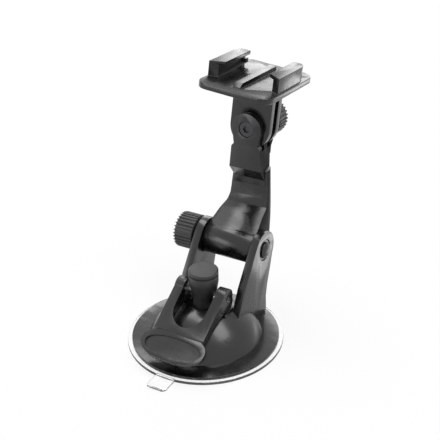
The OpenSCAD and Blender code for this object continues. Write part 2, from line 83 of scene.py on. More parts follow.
WHITE: Colour = (1.0, 1.0, 1.0, 1.0)


# ---------- node trees ----------


class NodeTree:
    """A node tree that nodes and links are added to."""

    def __init__(self, tree: bpy.types.NodeTree) -> None:
        """Takes hold of a tree.

        Args:
            tree: the tree.
        """
        self.tree = tree

    def node(self, kind: str, **settings: object) -> bpy.types.Node:
        """Adds a node and sets its properties.

        Args:
            kind: type of the node.
            settings: properties by name.

        Returns:
            The new node.
        """
        made = self.tree.nodes.new(kind)
        for key, setting in settings.items():
            setattr(made, key, setting)
        return made

    def link(self, start: Socket, end: Socket) -> None:
        """Links two sockets."""
        self.tree.links.new(start, end)

    def maths(self, operation: str, *terms: Socket | float) -> Socket:
        """Adds a maths node.

        Args:
            operation: what it does with its terms.
            terms: its inputs in order, each a socket or a number.

        Returns:
            The result's socket.
        """
        made = self.node("ShaderNodeMath", operation=operation)
        for place, term in zip(made.inputs, terms):
            if isinstance(term, Socket):
                self.link(term, place)
            else:
                place.default_value = term
        return made.outputs[0]

    def noise(self, place: Socket, size_mm: float, octaves: float) -> Socket:
        """Adds a noise with features of about the given size.

        Args:
            place: socket with the coordinates.
            size_mm: feature size.
            octaves: octaves of detail.

        Returns:
            The noise's factor socket.
        """
        noise = self.node("ShaderNodeTexNoise")
        noise.inputs["Scale"].default_value = 1.0 / (size_mm * MM)
        noise.inputs["Detail"].default_value = octaves
        self.link(place, noise.inputs["Vector"])
        return noise.outputs["Fac"]

    def ramp(self, drift: Socket, colours: tuple[Colour, Colour],
             ends: tuple[float, float] = (0.0, 1.0)) -> Socket:
        """Adds a ramp from one colour to another.

        Args:
            drift: socket that runs along the ramp.
            colours: colours at its two ends.
            ends: where the two ends lie.

        Returns:
            The colour's socket.
        """
        ramp = self.node("ShaderNodeValToRGB")
        for stop, position, colour in zip(ramp.color_ramp.elements, ends, colours):
            stop.position = position
            stop.color = colour
        self.link(drift, ramp.inputs["Fac"])
        return ramp.outputs["Color"]

    def mix(self, share: Socket, first: Socket, second: Socket) -> Socket:
        """Mixes two shaders.

        Args:
            share: socket with the second shader's share.
            first: the first shader.
            second: the second shader.

        Returns:
            The mixed shader's socket.
        """
        mixed = self.node("ShaderNodeMixShader")
        self.link(share, mixed.inputs["Fac"])
        self.link(first, mixed.inputs[1])
        self.link(second, mixed.inputs[2])
        return mixed.outputs["Shader"]


# ---------- finishes ----------


class Grain(Enum):
    """How the fine relief of a surface runs."""

    ORANGE_PEEL = "orange peel"
    SPARK = "spark"
    TURNED = "turned"


COAT_ROUGHNESS = 0.08
COLOUR_DRIFT_MM, COLOUR_OCTAVES, COLOUR_ENDS = 18.0, 3.0, (0.35, 0.7)
WEAR_MM, WEAR_OCTAVES, WEAR_ENDS = 6.0, 4.0, (0.3, 0.7)
GRAIN_OCTAVES = {Grain.ORANGE_PEEL: 2.0, Grain.SPARK: 6.0, Grain.TURNED: 2.0}
RELIEF_STRENGTH = 0.35
TURNED_STRETCH = (1.0, 0.06, 0.06)


@dataclass(frozen=True)
class Finish:
    """One surface finish, built as a node material on Object coordinates.

    Attributes:
        name: material name.
        colour: main colour, linear.
        patch_colour: second colour that drifts through the first.
        roughness: lowest and highest roughness.
        grain: kind of fine relief.
        grain_mm: size of one grain.
        relief_mm: depth of the relief.
        metallic: 1 for metals.
        coat: weight of the clear top layer.
        ior: index of refraction, set lower on a face that is to mirror little, as painted shade.
        crown: how fast a flat face turns away from its middle line, in radians per mm.
    """

    name: str
    colour: Colour
    patch_colour: Colour
    roughness: tuple[float, float]
    grain: Grain = Grain.ORANGE_PEEL
    grain_mm: float = 0.5
    relief_mm: float = 0.01
    metallic: float = 0.0
    coat: float = 0.0
    ior: float = 1.5
    crown: float = 0.0

    def material(self) -> bpy.types.Material:
        """Builds the material once and returns it afterwards.

        Returns:
            The material.
        """
        found = bpy.data.materials.get(self.name)
        if found:
            return found
        made = bpy.data.materials.new(self.name)
        made.use_nodes = True
        tree = NodeTree(made.node_tree)
        shader = made.node_tree.nodes["Principled BSDF"]
        shader.inputs["Metallic"].default_value = self.metallic
        shader.inputs["Coat Weight"].default_value = self.coat
        shader.inputs["Coat Roughness"].default_value = COAT_ROUGHNESS
        shader.inputs["IOR"].default_value = self.ior
        place = tree.node("ShaderNodeTexCoord").outputs["Object"]
        drift = tree.noise(place, COLOUR_DRIFT_MM, COLOUR_OCTAVES)
        colour = tree.ramp(drift, (self.colour, self.patch_colour), COLOUR_ENDS)
        tree.link(colour, shader.inputs["Base Color"])
        tree.link(self._wear(tree, place), shader.inputs["Roughness"])
        tree.link(self._relief(tree, place), shader.inputs["Normal"])
        return made

    def _wear(self, tree: NodeTree, place: Socket) -> Socket:
        """Varies the roughness over a few millimetres, as handling does.

        Args:
            tree: the material's tree.
            place: socket with the coordinates.

        Returns:
            The roughness's socket.
        """
        span = tree.node("ShaderNodeMapRange")
        names = ("From Min", "From Max", "To Min", "To Max")
        for name, value in zip(names, (*WEAR_ENDS, *self.roughness)):
            span.inputs[name].default_value = value
        tree.link(tree.noise(place, WEAR_MM, WEAR_OCTAVES), span.inputs["Value"])
        return span.outputs["Result"]

    def _relief(self, tree: NodeTree, place: Socket) -> Socket:
        """Adds the fine relief as a bump, over the crown where there is one.

        Args:
            tree: the material's tree.
            place: socket with the coordinates.

        Returns:
            Socket with the turned normal.
        """
        if self.grain is Grain.TURNED:
            stretch = tree.node("ShaderNodeMapping")
            stretch.inputs["Scale"].default_value = TURNED_STRETCH
            tree.link(place, stretch.inputs["Vector"])
            place = stretch.outputs["Vector"]
        bump = tree.node("ShaderNodeBump")
        bump.inputs["Strength"].default_value = RELIEF_STRENGTH
        bump.inputs["Distance"].default_value = self.relief_mm * MM
        grain = tree.noise(place, self.grain_mm, GRAIN_OCTAVES[self.grain])
        tree.link(grain, bump.inputs["Height"])
        if self.crown:
            tree.link(self._crown(tree, place), bump.inputs["Normal"])
        return bump.outputs["Normal"]

    def _crown(self, tree: NodeTree, place: Socket) -> Socket:
        """Shades flat faces as slightly convex across X.

        Args:
            tree: the material's tree.
            place: socket with the coordinates.

        Returns:
            Socket with the turned normal.
        """
        parts = tree.node("ShaderNodeSeparateXYZ")
        tree.link(place, parts.inputs["Vector"])
        square = tree.maths("MULTIPLY", parts.outputs["X"], parts.outputs["X"])
        height = tree.maths("MULTIPLY", square, -0.5 * self.crown / MM)
        crown = tree.node("ShaderNodeBump")
        crown.inputs["Strength"].default_value = 1.0
        crown.inputs["Distance"].default_value = 1.0
        tree.link(height, crown.inputs["Height"])
        return crown.outputs["Normal"]


@dataclass(frozen=True)
class ClearFinish:
    """Soft clear plastic, faintly warm and slightly cloudy.

    Attributes:
        name: material name.
        colour: tint of the body.
        roughness: blur of what is seen through it.
        transmission: share of light that goes through.
        ior: index of refraction.
        cloud_mm: size of a cloudy patch.
        cloud_octaves: octaves of its detail.
        cloud_gain: how much paler a cloudy patch is.
    """

    name: str = "clear_pad"
    colour: Colour = (0.995, 0.99, 0.98, 1.0)
    roughness: float = 0.04
    transmission: float = 0.94
    ior: float = 1.36
    cloud_mm: float = 100 / 9
    cloud_octaves: float = 3.0
    cloud_gain: float = 1.1

    def material(self) -> bpy.types.Material:
        """Builds the material once and returns it afterwards.

        Returns:
            The material.
        """
        found = bpy.data.materials.get(self.name)
        if found:
            return found
        made = bpy.data.materials.new(self.name)
        made.use_nodes = True
        tree = NodeTree(made.node_tree)
        shader = made.node_tree.nodes["Principled BSDF"]
        shader.inputs["Transmission Weight"].default_value = self.transmission
        shader.inputs["IOR"].default_value = self.ior
        shader.inputs["Roughness"].default_value = self.roughness
        place = tree.node("ShaderNodeTexCoord").outputs["Object"]
        cloud = tree.noise(place, self.cloud_mm, self.cloud_octaves)
        pale = tuple(min(1.0, c * self.cloud_gain) for c in self.colour)
        tree.link(tree.ramp(cloud, (self.colour, pale)), shader.inputs["Base Color"])
        return made


GLOSS_BLACK = Finish(
    "moulded_gloss_black", (0.005, 0.005, 0.0055, 1.0), (0.008, 0.008, 0.0085, 1.0), (0.20, 0.30),
    grain_mm=0.9, relief_mm=0.012, coat=0.12)
CROWNED_BLACK = Finish(
    "moulded_crowned_black", (0.006, 0.006, 0.0065, 1.0), (0.010, 0.010, 0.0105, 1.0), (0.22, 0.32),
    grain_mm=0.9, relief_mm=0.012, coat=0.12, crown=0.024)
# Painted shade: a rougher, less reflective copy of the black, which darkens the arm's faces that
# look along X to stand in for the shade that they show.
SHADED_SIDE_BLACK = Finish(
    "painted_shade_side", (0.005, 0.005, 0.005, 1.0), (0.008, 0.008, 0.008, 1.0), (0.55, 0.68),
    Grain.SPARK, 0.25, 0.02, ior=1.18)
SATIN_BLACK = Finish(
    "moulded_satin_black", (0.016, 0.016, 0.016, 1.0), (0.026, 0.026, 0.025, 1.0), (0.36, 0.48),
    Grain.SPARK, 0.22, 0.02)
PLATED_STEEL = Finish(
    "zinc_plated_steel", (0.58, 0.58, 0.57, 1.0), (0.66, 0.66, 0.64, 1.0), (0.22, 0.34),
    Grain.TURNED, 0.15, 0.01, 1.0)
BLACK_STEEL = Finish(
    "black_plated_steel", (0.045, 0.045, 0.048, 1.0), (0.07, 0.07, 0.072, 1.0), (0.28, 0.40),
    Grain.TURNED, 0.2, 0.01, 0.75)
TURNED_BRASS = Finish(
    "turned_brass", (0.72, 0.52, 0.23, 1.0), (0.78, 0.60, 0.30, 1.0), (0.20, 0.32),
    Grain.TURNED, 0.12, 0.01, 1.0)
CLEAR_PAD = ClearFinish()


# ---------- mesh helpers ----------


def add_object(name: str, mesh: bpy.types.Mesh, material: bpy.types.Material) -> bpy.types.Object:
    """Links a mesh to the scene with one material.

    Args:
        name: name of the object.
        mesh: its mesh, already in place.
        material: its material.

    Returns:
        The new object.
    """
    mesh.materials.clear()
    mesh.materials.append(material)
    made = bpy.data.objects.new(name, mesh)
    bpy.context.scene.collection.objects.link(made)
    return made


def baked(piece: bpy.types.Object) -> bpy.types.Object:
    """Turns a piece's modifiers into plain mesh and removes them.

    Args:
        piece: the piece.

    Returns:
        The same piece.
    """
    evaluated = piece.evaluated_get(bpy.context.evaluated_depsgraph_get())
    mesh = bpy.data.meshes.new_from_object(evaluated)
    piece.modifiers.clear()
    piece.data = mesh
    return piece


def hand_over(piece: bpy.types.Object, node: str, body: str) -> bpy.types.Object:
    """Makes a piece stand for a CAD node on its body and reports it.

    Args:
        piece: the finished piece.
        node: node that it stands for.
        body: body that it rides on.

    Returns:
        The piece.
    """
    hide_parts(node)
    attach(piece, body)
    LOG.info("%s stands for %s on %s: %d faces", piece.name, node, body, len(piece.data.polygons))
    return piece


def as_mesh(shape: bmesh.types.BMesh, name: str) -> bpy.types.Mesh:
    """Turns a finished shape into a mesh and frees the shape.

    Args:
        shape: the shape.
        name: name of the mesh.

    Returns:
        The mesh.
    """
    mesh = bpy.data.meshes.new(name)
    shape.to_mesh(mesh)
    shape.free()
    return mesh


def smooth(mesh: bpy.types.Mesh, sharp_degrees: float = 0.0) -> None:
    """Shades a mesh smooth.

    Args:
        mesh: the mesh.
        sharp_degrees: edges that turn by more than this stay sharp, or 0 for none.
    """
    for polygon in mesh.polygons:
        polygon.use_smooth = True
    if sharp_degrees:
        mesh.set_sharp_from_angle(angle=math.radians(sharp_degrees))


WELD = 2e-6
FLAT_DEGREES = 0.4
ROUNDED_FROM_DEGREES = 32
SIDE_FACING = 0.9
ON_AXIS = 1e-7


@dataclass
class Moulding:
    """A CAD node with the small round edges that moulding or turning leaves.

    Attributes:
        node: CAD node to copy.
        body: body that it rides on.
        slot: material slot of the record; not used.
        finish: its finish.
        edge_mm: width of the round edges.
        segments: steps across a round edge.
        painted_shade_finish: finish of the faces that look along X, when it differs: a less
            reflective copy that paints shade on them.
    """

    node: str
    body: str
    slot: str
    finish: Finish
    edge_mm: float = 0.35
    segments: int = 3
    painted_shade_finish: Finish | None = None

    def build(self, nodes: dict[str, bpy.types.Object]) -> bpy.types.Object:
        """Makes the rounded copy.

        Args:
            nodes: CAD nodes by name.

        Returns:
            The finished piece.
        """
        mesh = nodes[self.node].data.copy()
        shape = bmesh.new()
        shape.from_mesh(mesh)
        bmesh.ops.remove_doubles(shape, verts=shape.verts, dist=WELD)
        bmesh.ops.dissolve_limit(
            shape, angle_limit=math.radians(FLAT_DEGREES), verts=shape.verts, edges=shape.edges)
        shape.to_mesh(mesh)
        shape.free()
        piece = add_object(f"{self.node}_moulding", mesh, self.finish.material())
        smooth(mesh)
        bevel = piece.modifiers.new("round_edges", "BEVEL")
        bevel.width = self.edge_mm * MM
        bevel.segments = self.segments
        bevel.limit_method = "ANGLE"
        bevel.angle_limit = math.radians(ROUNDED_FROM_DEGREES)
        bevel.use_clamp_overlap = True
        bevel.harden_normals = True
        bevel.miter_outer = "MITER_ARC"
        baked(piece)
        if self.painted_shade_finish:
            self._paint_side_shade(piece.data)
        return hand_over(piece, self.node, self.body)

    def _paint_side_shade(self, mesh: bpy.types.Mesh) -> None:
        """Paints shade on the faces that look along X by giving them the less reflective finish.

        Args:
            mesh: the piece's mesh.
        """
        mesh.materials.append(self.painted_shade_finish.material())
        for polygon in mesh.polygons:
            if abs(polygon.normal.x) > SIDE_FACING:
                polygon.material_index = 1


def lathe(profile: list[tuple[float, float]], steps: int) -> bmesh.types.BMesh:
    """Turns a profile round Z into a closed shape.

    Args:
        profile: (radius, height) points from the axis round to the axis, in metres.
        steps: number of steps round the axis.

    Returns:
        The shape, with closed poles and outward faces.
    """
    shape = bmesh.new()
    turn = [2 * math.pi * i / steps for i in range(steps)]
    rings: list[list[bmesh.types.BMVert]] = []
    for radius, height in profile:
        if radius < ON_AXIS:
            rings.append([shape.verts.new((0.0, 0.0, height))])
            continue
        rings.append([
            shape.verts.new((radius * math.cos(a), radius * math.sin(a), height)) for a in turn])
    for lower, upper in zip(rings, rings[1:]):
        for i in range(steps):
            k = (i + 1) % steps
            corners = [lower[i % len(lower)], lower[k % len(lower)],
                       upper[k % len(upper)], upper[i % len(upper)]]
            unique = list(dict.fromkeys(corners))
            if len(unique) > 2:
                shape.faces.new(unique)
    bmesh.ops.recalc_face_normals(shape, faces=shape.faces)
    return shape


def arc(centre: tuple[float, float], radius: float, start: float, end: float,
        steps: int) -> list[tuple[float, float]]:
    """Points along an arc in a plane.

    Args:
        centre: centre of the arc.
        radius: its radius.
        start: angle of its first point, in degrees.
        end: angle of its last point, in degrees.
        steps: number of steps between them.

    Returns:
        The points, both ends included.
    """
    points = []
    for i in range(steps + 1):
        a = math.radians(start + (end - start) * i / steps)
        points.append((centre[0] + radius * math.cos(a), centre[1] + radius * math.sin(a)))
    return points


# ---------- Geometry Nodes ----------


class NodeRecipe(NodeTree):
    """A Geometry Nodes tree with named inputs, built once and run on an empty mesh."""

    def __init__(self, name: str, kinds: dict[str, str]) -> None:
        """Starts a tree that has its named inputs and a material.

        Args:
            name: name of the tree.
            kinds: socket kind of each named input.
        """
        super().__init__(bpy.data.node_groups.new(name, "GeometryNodeTree"))
        face = self.tree.interface
        face.new_socket("Geometry", in_out="INPUT", socket_type="NodeSocketGeometry")
        face.new_socket("Geometry", in_out="OUTPUT", socket_type="NodeSocketGeometry")
        self.source = self.node("NodeGroupInput")
        self.result = self.node("NodeGroupOutput")
        self.sockets: dict[str, str] = {}
        for key, kind in {**kinds, "Material": "NodeSocketMaterial"}.items():
            made = face.new_socket(key, in_out="INPUT", socket_type=kind)
            self.sockets[key] = made.identifier

    def value(self, name: str) -> Socket:
        """The socket that carries a named input."""
        return self.source.outputs[name]

    def feed(self, node: bpy.types.Node, names: dict[str, str]) -> None:
        """Links named inputs to a node.

        Args:
            node: the node.
            names: named input for each of the node's sockets.
        """
        for socket, name in names.items():
            self.link(self.value(name), node.inputs[socket])

    def close(self, geometry: Socket) -> None:
        """Ends the tree in Realize Instances and Set Material.

        Args:
            geometry: socket with the finished geometry.
        """
        real = self.node("GeometryNodeRealizeInstances")
        paint = self.node("GeometryNodeSetMaterial")
        self.link(geometry, real.inputs["Geometry"])
        self.link(real.outputs["Geometry"], paint.inputs["Geometry"])
        self.link(self.value("Material"), paint.inputs["Material"])
        self.link(paint.outputs["Geometry"], self.result.inputs["Geometry"])

    def run(self, name: str, values: dict[str, object]) -> bpy.types.Mesh:
        """Runs the tree and returns its mesh.

        Args:
            name: name of the carrier object.
            values: a value for each named input.

        Returns:
            The mesh that the tree makes.
        """
        carrier = bpy.data.objects.new(name, bpy.data.meshes.new(name))
        bpy.context.scene.collection.objects.link(carrier)
        modifier = carrier.modifiers.new("recipe", "NODES")
        modifier.node_group = self.tree
        for key, setting in values.items():
            modifier[self.sockets[key]] = setting
        mesh = baked(carrier).data
        bpy.data.objects.remove(carrier)
        return mesh


RIB_SIDES = 10
RIB_TIP_SHARE = 0.35
COIL_STEPS = 40
WIRE_SIDES = 14


def rib_ring_recipe() -> NodeRecipe:
    """Ribs that stand round a knob, each with a tapered outer end.

    Returns:
        The recipe.
    """
    lengths = ("Ring Radius", "Rib Radius", "Rib Length", "Taper Length")
    recipe = NodeRecipe(
        "rib_ring", {"Count": "NodeSocketInt", **{name: "NodeSocketFloat" for name in lengths}})
    ring = recipe.node("GeometryNodeMeshCircle")
    recipe.feed(ring, {"Vertices": "Count", "Radius": "Ring Radius"})
    bar = recipe.node("GeometryNodeMeshCylinder")
    bar.inputs["Vertices"].default_value = RIB_SIDES
    recipe.feed(bar, {"Radius": "Rib Radius", "Depth": "Rib Length"})
    tip = recipe.node("GeometryNodeMeshCone")
    tip.inputs["Vertices"].default_value = RIB_SIDES
    recipe.feed(tip, {"Radius Bottom": "Rib Radius", "Depth": "Taper Length"})
    narrow = recipe.maths("MULTIPLY", recipe.value("Rib Radius"), RIB_TIP_SHARE)
    recipe.link(narrow, tip.inputs["Radius Top"])
    lift = recipe.node("ShaderNodeCombineXYZ")
    half = recipe.maths("MULTIPLY", recipe.value("Rib Length"), 0.5)
    recipe.link(half, lift.inputs["Z"])
    move = recipe.node("GeometryNodeTransform")
    recipe.link(tip.outputs["Mesh"], move.inputs["Geometry"])
    recipe.link(lift.outputs["Vector"], move.inputs["Translation"])
    rib = recipe.node("GeometryNodeJoinGeometry")
    recipe.link(bar.outputs["Mesh"], rib.inputs["Geometry"])
    recipe.link(move.outputs["Geometry"], rib.inputs["Geometry"])
    scatter = recipe.node("GeometryNodeInstanceOnPoints")
    recipe.link(ring.outputs["Mesh"], scatter.inputs["Points"])
    recipe.link(rib.outputs["Geometry"], scatter.inputs["Instance"])
    recipe.close(scatter.outputs["Instances"])
    return recipe


def coil_recipe() -> NodeRecipe:
    """A round wire wound into a coil that rises along Z.

    Returns:
        The recipe.
    """
    lengths = ("Turns", "Coil Radius", "Rise", "Wire Radius")
    recipe = NodeRecipe("coil", {name: "NodeSocketFloat" for name in lengths})
    spiral = recipe.node("GeometryNodeCurveSpiral")
    spiral.inputs["Resolution"].default_value = COIL_STEPS
    recipe.feed(spiral, {"Rotations": "Turns", "Start Radius": "Coil Radius",
                         "End Radius": "Coil Radius", "Height": "Rise"})
    wire = recipe.node("GeometryNodeCurvePrimitiveCircle")
    wire.inputs["Resolution"].default_value = WIRE_SIDES
    recipe.feed(wire, {"Radius": "Wire Radius"})
    sweep = recipe.node("GeometryNodeCurveToMesh")
    sweep.inputs["Fill Caps"].default_value = True
    recipe.link(spiral.outputs["Curve"], sweep.inputs["Curve"])
    recipe.link(wire.outputs["Curve"], sweep.inputs["Profile Curve"])
    recipe.close(sweep.outputs["Mesh"])
    return recipe


# ---------- sub-assemblies ----------


@dataclass
class SuctionPad:
    """The soft clear pad: thick rim, thin lifting centre and a rounded pull tab.

    Attributes:
        rim_mm: radius of the outer edge's rounding.
        centre_mm: radius of the thin centre.
        centre_t_mm: thickness of the centre.
        bead_mm: height of the fine bead near the rim.
        tab_mm: half-width of the pull tab.
        tab_t_mm: thickness of the pull tab.
        corner_mm: radius of the tab's two corners.
        root_mm: how far the tab reaches in under the rim.
        soft_mm: size of the tab's softened edges.
        steps: steps round the pad.
        sharp_degrees: edges that turn by more than this are shaded sharp.
    """

    rim_mm: float = 0.62
    centre_mm: float = 17.5
    centre_t_mm: float = 1.0
    bead_mm: float = 0.22
    tab_mm: float = 5.5
    tab_t_mm: float = 1.1
    corner_mm: float = 2.2
    root_mm: float = 1.5
    soft_mm: float = 0.25
    steps: int = 192
    sharp_degrees: float = 40.0

    def build(self) -> bpy.types.Object:
        """Makes the pad and its tab as one soft piece.

        Returns:
            The finished piece.
        """
        low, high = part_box("suction_pad")
        radius = high.x
        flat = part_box("base_disc")[1].x
        shape = lathe(self._profile(radius, high.z, flat), self.steps)
        self._tab(shape, low.y, radius)
        mesh = as_mesh(shape, "suction_pad_soft")
        smooth(mesh, self.sharp_degrees)
        piece = add_object("suction_pad_soft", mesh, CLEAR_PAD.material())
        return hand_over(piece, "suction_pad", "base")

    def _profile(self, radius: float, top: float, flat: float) -> list[tuple[float, float]]:
        """Section of the pad, from the axis along the underside and back over the top.

        Args:
            radius: radius of the pad.
            top: height of its rim.
            flat: radius of the disc that lies on it.

        Returns:
            (radius, height) points.
        """
        rim, bead, step = self.rim_mm * MM, self.bead_mm * MM, 0.2 * MM
        inner, centre = self.centre_mm * MM, self.centre_t_mm * MM
        profile = [(0.0, 0.0), (radius * 0.5, 0.0), (radius - rim, 0.0)]
        profile += arc((radius - rim, rim), rim, -90, 0, 6)[1:]
        profile += arc((radius - rim, top - rim), rim, 0, 90, 6)
        profile += [(flat + step, top - bead), (flat, top - bead), (flat - step, top)]
        profile += [(inner, top), (inner - (top - centre), centre), (0.0, centre)]
        return profile

    def _tab(self, shape: bmesh.types.BMesh, tip_y: float, radius: float) -> None:
        """Adds the pull tab: a flat rounded tongue with softened edges.

        Args:
            shape: shape that the tab joins.
            tip_y: where the tab ends.
            radius: radius of the pad.
        """
        half, corner, thick = self.tab_mm * MM, self.corner_mm * MM, self.tab_t_mm * MM
        root, soft = -radius + self.root_mm * MM, self.soft_mm * MM
        outline = [(half, root)]
        outline += arc((half - corner, tip_y + corner), corner, 0, -90, 8)
        outline += arc((corner - half, tip_y + corner), corner, -90, -180, 8)
        outline += [(-half, root)]
        layers = [(0.0, soft), (soft, 0.0), (thick - soft, 0.0), (thick, soft)]
        mid_y = (tip_y + root) / 2
        rings = []
        for height, inset in layers:
            ring = []
            for x, y in outline:
                grow_x = 1 - inset / half
                grow_y = 1 - inset / (mid_y - tip_y)
                ring.append(shape.verts.new((x * grow_x, mid_y + (y - mid_y) * grow_y, height)))
            rings.append(ring)
        count = len(outline)
        made = [shape.faces.new(list(reversed(rings[0]))), shape.faces.new(rings[-1])]
        for lower, upper in zip(rings, rings[1:]):
            for i in range(count):
                k = (i + 1) % count
                made.append(shape.faces.new([lower[i], lower[k], upper[k], upper[i]]))
        bmesh.ops.recalc_face_normals(shape, faces=made)


@dataclass
class ClampKnob:
    """A knurled clamp knob: a turned core with ribs round it.

    Attributes:
        node: CAD node that it stands for.
        joint: joint whose axis it turns on.
        body: body that it rides on.
        ribs: number of ribs.
        rib_mm: radius of a rib.
        collar_mm: length of the plain collar.
        collar_r_mm: radius of the collar.
        chamfer_mm: chamfer of the outer end.
        bore_mm: radius of the hole for the insert.
        bore_l_mm: depth of that hole.
        soft_mm: rounding of the collar's edges.
        rib_gap_mm: plain strip between the collar and the ribs.
        tip_share: length of a rib's tapered tip, as a share of the chamfer.
        dish_mm: depth of the dished outer face.
        dish_shares: outer and inner radius of the dish's edge, as shares of the core's.
        steps: steps round the core.
        sharp_degrees: edges that turn by more than this are shaded sharp.
    """

    node: str
    joint: str
    body: str
    ribs: int = 30
    rib_mm: float = 0.62
    collar_mm: float = 0.9
    collar_r_mm: float = 6.6
    chamfer_mm: float = 1.3
    bore_mm: float = 4.0
    bore_l_mm: float = 7.0
    soft_mm: float = 0.3
    rib_gap_mm: float = 0.2
    tip_share: float = 0.9
    dish_mm: float = 0.35
    dish_shares: tuple[float, float] = (0.62, 0.58)
    steps: int = 120
    sharp_degrees: float = 38.0

    def build(self, frame: dict, recipe: NodeRecipe) -> bpy.types.Object:
        """Makes the knob on its joint's axis.

        Args:
            frame: the loaded frame.
            recipe: the rib ring.

        Returns:
            The finished piece.
        """
        joint = next(j for j in frame["joints"] if j["name"] == self.joint)
        point = Vector(joint["pos_m"])
        axis = Vector(joint["axis"]).normalized()
        around = [v.co - point for v in frame["nodes"][self.node].data.vertices]
        reach = [d.dot(axis) for d in around]
        radius = max((d - axis * d.dot(axis)).length for d in around)
        start, length = min(reach), max(reach) - min(reach)
        mesh = self._core(radius, length)
        self._add_ribs(mesh, radius, length, recipe)
        turn = axis.to_track_quat("Z", "Y").to_matrix().to_4x4()
        mesh.transform(Matrix.Translation(point + axis * start) @ turn)
        piece = add_object(f"{self.node}_knurled", mesh, SATIN_BLACK.material())
        return hand_over(piece, self.node, self.body)

    def _core(self, radius: float, length: float) -> bpy.types.Mesh:
        """The turned core, with its collar at z = 0 and a dished outer face.

        Args:
            radius: radius over the ribs.
            length: length of the knob.

        Returns:
            The core's mesh.
        """
        collar, collar_r, soft = self.collar_mm * MM, self.collar_r_mm * MM, self.soft_mm * MM
        body, chamfer = radius - self.rib_mm * MM, self.chamfer_mm * MM
        bore, bore_l = self.bore_mm * MM, self.bore_l_mm * MM
        floor = length - self.dish_mm * MM
        outer, inner = (share * body for share in self.dish_shares)
        profile = [(0.0, bore_l), (bore, bore_l), (bore, 0.0), (collar_r - soft, 0.0)]
        profile += [(collar_r, soft), (collar_r, collar), (body - soft, collar)]
        profile += [(body, collar + soft)]
        for inset, drop in ((0.0, 1.0), (0.35, 0.4), (1.0, 0.05), (1.4, 0.0)):
            profile.append((body - inset * chamfer, length - drop * chamfer))
        profile += [(outer, length), (inner, floor), (0.0, floor)]
        return as_mesh(lathe(profile, self.steps), self.node)

    def _add_ribs(self, mesh: bpy.types.Mesh, radius: float, length: float,
                  recipe: NodeRecipe) -> None:
        """Joins the ring of ribs to the core's mesh.

        Args:
            mesh: the core's mesh.
            radius: radius over the ribs.
            length: length of the knob.
            recipe: the rib ring.
        """
        collar, rib, taper = self.collar_mm * MM, self.rib_mm * MM, self.chamfer_mm * MM
        gap = self.rib_gap_mm * MM
        rib_length = length - collar - taper - gap
        ring = recipe.run(f"{self.node}_ribs", {
            "Count": self.ribs, "Ring Radius": radius - rib, "Rib Radius": rib,
            "Rib Length": rib_length, "Taper Length": taper * self.tip_share,
            "Material": SATIN_BLACK.material()})
        ring.transform(Matrix.Translation((0.0, 0.0, collar + gap + rib_length / 2)))
        shape = bmesh.new()
        shape.from_mesh(mesh)
        shape.from_mesh(ring)
        bmesh.ops.recalc_face_normals(shape, faces=shape.faces)
        shape.to_mesh(mesh)
        shape.free()
        for polygon in mesh.polygons:
            polygon.material_index = 0
        smooth(mesh, self.sharp_degrees)


@dataclass
class ReturnSpring:
    """The coil spring between the sleeve and the lift plate.

    Attributes:
        turns: turns of the coil.
        wire_mm: diameter of the wire.
    """

    turns: float = 2.0
    wire_mm: float = 1.2

    def build(self, recipe: NodeRecipe) -> bpy.types.Object:
        """Winds the coil inside the node's own box.

        Args:
            recipe: the coil.

        Returns:
            The finished piece.
        """
        low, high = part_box("return_spring")
        wire = self.wire_mm * MM
        mesh = recipe.run("spring_coil", {
            "Turns": self.turns, "Coil Radius": high.x - wire / 2, "Rise": high.z - low.z - wire,
            "Wire Radius": wire / 2, "Material": PLATED_STEEL.material()})
        mesh.transform(Matrix.Translation((0.0, 0.0, low.z + wire / 2)))
        smooth(mesh)
        piece = add_object("return_spring_coil", mesh, PLATED_STEEL.material())
        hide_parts("return_spring")
        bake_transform(piece)
        LOG.info("%s stretches between base and post", piece.name)
        return piece


@dataclass
class MouldedShells:
    """All the moulded plastic parts and the exposed bolt, with round edges.

    Attributes:
        parts: each part with its body, slot, finish and edge width.
    """

    parts: tuple[Moulding, ...] = (
        Moulding("base_disc", "base", "black_gloss", GLOSS_BLACK, 0.3),
        Moulding("dome_housing", "base", "black_gloss", GLOSS_BLACK, 0.4),
        Moulding("lift_post", "post", "black_satin", SATIN_BLACK, 0.25),
        Moulding("post_cap", "post", "black_satin", SATIN_BLACK, 0.2),
        Moulding("cam_lever", "lever", "black_gloss", CROWNED_BLACK, 0.35),
        # The arm's faces that look along X get painted shade.
        Moulding("arm", "arm", "black_gloss", CROWNED_BLACK, 0.35, painted_shade_finish=SHADED_SIDE_BLACK),
        Moulding("quick_release_plate", "plate", "black_gloss", GLOSS_BLACK, 0.3),
        Moulding("lower_bolt", "base", "black_steel", BLACK_STEEL, 0.2),
    )

    def build(self, nodes: dict[str, bpy.types.Object]) -> None:
        """Builds every part."""
        for part in self.parts:
            part.build(nodes)


@dataclass
class PlainHardware:
    """Small turned and stamped parts that keep their CAD mesh and get their metal.

    Attributes:
        finishes: finish of each node.
    """

    finishes: dict[str, Finish] = field(default_factory=lambda: {
        "dome_screws": PLATED_STEEL,
        "lift_plate": PLATED_STEEL,
        "lever_pin": PLATED_STEEL,
        "lower_bolt_washer": BLACK_STEEL,
        "lower_knob_washer": BLACK_STEEL,
        "upper_knob_washer": BLACK_STEEL,
        "upper_bolt": BLACK_STEEL,
        "lower_knob_insert": TURNED_BRASS,
        "upper_knob_insert": TURNED_BRASS,
    })

    def dress(self, nodes: dict[str, bpy.types.Object]) -> None:
        """Gives each node its metal.

        Args:
            nodes: CAD nodes by name.
        """
        for name, finish in self.finishes.items():
            piece = nodes[name]
            piece.data.materials.clear()
            piece.data.materials.append(finish.material())
            LOG.info("%s keeps its mesh, finished as %s", name, finish.name)


# ---------- studio ----------


FLOOR_GREY: Colour = (0.82, 0.82, 0.82, 1.0)
FLOOR_ROUGHNESS = 0.9
FLOOR_REACH = 3.0
FLOOR_DROP = 0.0003
GLOW_SEEN = 0.85
GLOW_MIRRORED = 0.4
WORLD_AS_LAMP = 0.25


